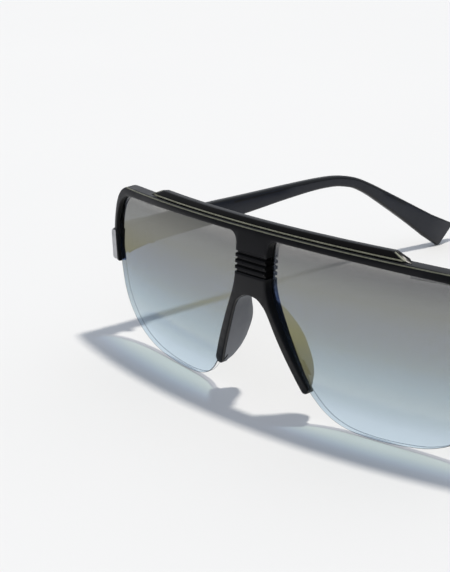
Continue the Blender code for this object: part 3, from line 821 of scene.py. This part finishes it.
# Colours by height up the lens
TINT = [(0.0, (0.76, 0.89, 1.0)), (0.12, (0.71, 0.84, 0.955)), (0.20, (0.62, 0.745, 0.84)),
        (0.28, (0.48, 0.60, 0.745)), (0.36, (0.337, 0.46, 0.632)), (0.44, (0.23, 0.327, 0.516)),
        (0.52, (0.134, 0.20, 0.377)), (0.60, (0.082, 0.125, 0.27)), (0.68, (0.056, 0.086, 0.188)),
        (0.78, (0.050, 0.062, 0.085)), (0.91, (0.085, 0.09, 0.105)), (1.0, (0.30, 0.29, 0.28))]
MIRROR_COLOR = [(0.0, (0.12, 0.12, 0.10)), (0.16, (0.36, 0.36, 0.27)), (0.5, (0.80, 0.77, 0.38)),
                (0.8, (1.0, 1.0, 0.86)), (1.0, (1.0, 1.0, 0.90))]
# The floor's brightness in reflections, by distance
FLOOR_FADE = [(0.05, (0.79, 0.79, 0.79)), (0.15, (0.74, 0.74, 0.75)), (0.25, (0.63, 0.63, 0.65)),
              (0.42, (0.46, 0.46, 0.48)), (0.8, (0.28, 0.28, 0.30))]


def mirror_tint():
    """The lens's front: a light gold mirror over a tint that fades from dense at the top to pale below."""
    s = Shader("lens_front")
    share = s.span(s.height(), 0, LENS_TALL, 0, 1)
    see = s.clear()
    shadow = s.ray("Shadow")
    grazed = s.nodes.new("ShaderNodeMixRGB")
    grazed.blend_type = "MULTIPLY"
    grazed.inputs["Color2"].default_value = (*GRAZED_TINT, 1)
    s.join(shadow, grazed.inputs["Fac"])
    s.join(s.ramp(share, TINT), grazed.inputs["Color1"])
    s.join(grazed.outputs[0], see.inputs[0])
    s.set(Metallic=1.0, Roughness=0.025)
    s.join(s.ramp(share, MIRROR_COLOR), s.main.inputs["Base Color"])
    mirror = s.nodes.new("ShaderNodeMath")
    mirror.operation = "MAXIMUM"
    s.join(s.span(s.height(), MIRROR_LOW, MIRROR_HIGH, MIRROR_LEAST, MIRROR), mirror.inputs[0])
    s.join(s.span(shadow, 0, 1, 0, MIRROR_GRAZED), mirror.inputs[1])
    return s.show(s.mix(mirror.outputs[0], see.outputs[0], s.main.outputs[0]))


def clear_face(name, mirror, see_color, color, shade=None):
    """Clear plastic with a share of surface colour, which may cast a darker shade than it shows."""
    s = Shader(name)
    see = s.clear(see_color).outputs[0]
    if shade:
        see = s.mix(s.ray("Shadow"), see, s.clear(shade).outputs[0])
    s.set(Roughness=0.03)
    s.tone(40, 1, color, tuple(0.9 * c for c in color))
    return s.show(s.mix(mirror, see, s.main.outputs[0]))


def floor_paint():
    """Matt white, which reflections see fading off into the dim room."""
    s = Shader("pale_floor")
    s.tone(3, 2, (0.80, 0.80, 0.80), (0.81, 0.81, 0.81))
    s.set(Roughness=1.0, Specular_IOR_Level=0.0)
    far = s.nodes.new("ShaderNodeVectorMath")
    far.operation = "LENGTH"
    s.join(s.place, far.inputs[0])
    dim = s.nodes.new("ShaderNodeBsdfDiffuse")
    s.join(s.ramp(far.outputs["Value"], FLOOR_FADE), dim.inputs[0])
    return s.show(s.mix(s.ray("Glossy"), s.main.outputs[0], dim.outputs[0]))


# ---- camera, light and floor --------------------------------------------------

def toward(azimuth, height):
    """The way from the object to a camera there, counted from the front."""
    flat = math.cos(height)
    return Vector((math.sin(azimuth) * flat, -math.cos(azimuth) * flat, math.sin(height)))


def make_camera():
    cam = bpy.data.objects.new("camera", bpy.data.cameras.new("camera"))
    bpy.context.scene.collection.objects.link(cam)
    bpy.context.scene.camera = cam
    cam.data.lens = CAMERA_LENS
    cam.data.sensor_width = 36
    cam.data.clip_start = 0.01
    cam.data.clip_end = 50
    back = toward(CAMERA_AZIMUTH, CAMERA_HEIGHT)
    right = (-back).cross(Vector((0, 0, 1))).normalized()
    up = right.cross(-back)
    c, s = math.cos(CAMERA_ROLL), math.sin(CAMERA_ROLL)
    right, up = c * right + s * up, c * up - s * right
    turn = Matrix((right, up, back)).transposed()
    cam.matrix_world = Matrix.Translation(CAMERA_AIM + CAMERA_FAR * back) @ turn.to_4x4()


LAMP = Vector((0.008, -0.0026, 0.34))
LAMP_RADIUS = 14 * MM
LAMP_POWER = 0.272
LAMP_COLOR = (1.0, 0.955, 0.875)
LEAST_COSINE = 0.03                 # keeps the spread beam finite near the horizon
PALE = 0.905                        # the set as the camera meets it
# The room and its bright side, from straight down to straight up
ROOM = [(0.0, (0.08, 0.085, 0.09)), (0.50, (0.09, 0.095, 0.105)), (0.62, (0.13, 0.14, 0.16)),
        (0.75, (0.42, 0.455, 0.52)), (1.0, (0.50, 0.545, 0.62))]
BACKDROP = [(0.0, (0.10, 0.105, 0.115)), (0.50, (0.14, 0.145, 0.16)), (0.56, (0.42, 0.43, 0.46)),
            (0.64, (0.80, 0.82, 0.87)), (0.75, (0.60, 0.64, 0.70)), (1.0, (0.50, 0.545, 0.62))]
BACKDROP_WAY = (-0.755, 0.656, 0.0)
BACKDROP_SPREAD = (0.15, 0.75)      # cosines from that way, where the backdrop starts and is full
FLOOR_HALF = 8.0
FLOOR_DROP = 0.1 * MM


def lamp():
    """A small lamp close above, whose beam is spread so that it lights the floor evenly."""
    made = bpy.data.lights.new("lamp", "POINT")
    made.shadow_soft_size = LAMP_RADIUS
    made.energy = LAMP_POWER
    made.color = LAMP_COLOR
    made.use_nodes = True
    nodes, links = made.node_tree.nodes, made.node_tree.links
    place = nodes.new("ShaderNodeTexCoord")
    split = nodes.new("ShaderNodeSeparateXYZ")
    steep = nodes.new("ShaderNodeMath")
    steep.operation = "ABSOLUTE"
    least = nodes.new("ShaderNodeMath")
    least.operation = "MAXIMUM"
    least.inputs[1].default_value = LEAST_COSINE
    spread = nodes.new("ShaderNodeMath")
    spread.operation = "DIVIDE"
    even = nodes.new("ShaderNodeLightFalloff")
    links.new(place.outputs["Normal"], split.inputs[0])
    links.new(split.outputs[2], steep.inputs[0])
    links.new(steep.outputs[0], least.inputs[0])
    links.new(even.outputs["Constant"], spread.inputs[0])
    links.new(least.outputs[0], spread.inputs[1])
    links.new(spread.outputs[0], nodes["Emission"].inputs["Strength"])
    held = bpy.data.objects.new("lamp", made)
    held.location = LAMP
    bpy.context.scene.collection.objects.link(held)


def sky():
    """A dim room with a soft top light and a bright backdrop on one side, and a pale set for the camera."""
    world = bpy.data.worlds.new("studio")
    bpy.context.scene.world = world
    world.use_nodes = True
    nodes, links = world.node_tree.nodes, world.node_tree.links
    place = nodes.new("ShaderNodeTexCoord").outputs["Generated"]
    split = nodes.new("ShaderNodeSeparateXYZ")
    share = nodes.new("ShaderNodeMapRange")
    share.inputs[1].default_value = -1
    links.new(place, split.inputs[0])
    links.new(split.outputs[2], share.inputs[0])
    room = nodes.new("ShaderNodeValToRGB")
    fill_ramp(room, ROOM)
    backdrop = nodes.new("ShaderNodeValToRGB")
    fill_ramp(backdrop, BACKDROP)
    links.new(share.outputs[0], room.inputs[0])
    links.new(share.outputs[0], backdrop.inputs[0])
    way = nodes.new("ShaderNodeVectorMath")
    way.operation = "DOT_PRODUCT"
    way.inputs[1].default_value = BACKDROP_WAY
    links.new(place, way.inputs[0])
    behind = nodes.new("ShaderNodeMapRange")
    behind.interpolation_type = "SMOOTHSTEP"
    behind.inputs[1].default_value, behind.inputs[2].default_value = BACKDROP_SPREAD
    links.new(way.outputs["Value"], behind.inputs[0])
    lit = nodes.new("ShaderNodeMix")
    lit.data_type = "RGBA"
    links.new(behind.outputs[0], lit.inputs[0])
    links.new(room.outputs[0], lit.inputs["A"])
    links.new(backdrop.outputs[0], lit.inputs["B"])
    seen = nodes.new("ShaderNodeLightPath")
    shown = nodes.new("ShaderNodeMix")
    shown.data_type = "RGBA"
    shown.inputs["B"].default_value = (PALE, PALE, PALE, 1)
    links.new(seen.outputs["Is Camera Ray"], shown.inputs[0])
    links.new(lit.outputs["Result"], shown.inputs["A"])
    links.new(shown.outputs["Result"], nodes["Background"].inputs[0])


def light():
    """The studio: sky, lamp and floor."""
    bpy.context.scene.view_settings.view_transform = "Standard"
    sky()
    lamp()
    bm = bmesh.new()
    bmesh.ops.create_grid(bm, x_segments=8, y_segments=8, size=FLOOR_HALF)
    bmesh.ops.translate(bm, verts=bm.verts, vec=(0, 0, -FLOOR_DROP))
    add_object("floor", bm, floor_paint())


# ---- assembly -----------------------------------------------------------------

def stand_in(piece, node, body):
    """The piece is shown in place of the CAD node."""
    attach(piece, body)
    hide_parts(node)


def main():
    make_camera()
    light()
    black = moulded_black("frame_black", (0.0030, 0.0031, 0.0038), (0.0045, 0.0046, 0.0058),
                          0.27, 0.36, 0.25)
    # A darker, duller copy of the black: painted shade in the bridge's grooves and on the bar's ends.
    groove = moulded_black("painted_shade_black", (0.001, 0.001, 0.001), (0.002, 0.002, 0.002), 0.45, 0.55, 0.06)
    arm = moulded_black("temple_black", (0.004, 0.0042, 0.005), (0.006, 0.0065, 0.0075), 0.28, 0.38, 0.34)
    # A lighter, bluish copy of the temple black for the inner faces: painted sheen.
    arm_inner_sheen = moulded_black("temple_inner_sheen", (0.006, 0.0080, 0.014), (0.009, 0.0115, 0.019),
                              0.30, 0.40, 0.34)
    line = pale_line()
    metal = hinge_metal()
    pad = soft_pad()
    lens_faces = [mirror_tint(),
                  clear_face("lens_edge", 0.5, (0.12, 0.13, 0.15), (0.12, 0.13, 0.14)),
                  clear_face("lens_rim", 0.08, (1, 1, 1), (0.6, 0.62, 0.64), (0.36, 0.36, 0.38)),
                  clear_face("lens_back_edge", 0.2, (0.62, 0.64, 0.67), (0.45, 0.47, 0.49)),
                  clear_face("lens_back", 0.04, (1, 1, 1), (0.3, 0.25, 0.5))]
    stand_in(frame_shell(black, lug_front_grey(), groove), "front_frame", "front")
    stand_in(bar_shell(black, groove), "brow_bar", "front")
    stand_in(inlay_shell(gloss_black()), "brow_inlay", "front")
    stand_in(upper_line(line), "upper_pinstripe", "front")
    stand_in(lower_line(line), "lower_pinstripe", "front")
    for word, side in SIDES.items():
        stand_in(lens_shell(f"lens_shell_{word}", side, lens_faces), f"lens_{word}", "front")
        stand_in(pad_shell(f"pad_shell_{word}", side, pad), f"nose_pad_{word}", "front")
        stand_in(temple_shell(f"temple_shell_{word}", side, arm, arm_inner_sheen), f"temple_{word}", f"arm_{word}")
    for name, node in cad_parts.items():
        if "hinge" in name or "rivet" in name:
            node.data.materials.clear()
            node.data.materials.append(metal)


main()
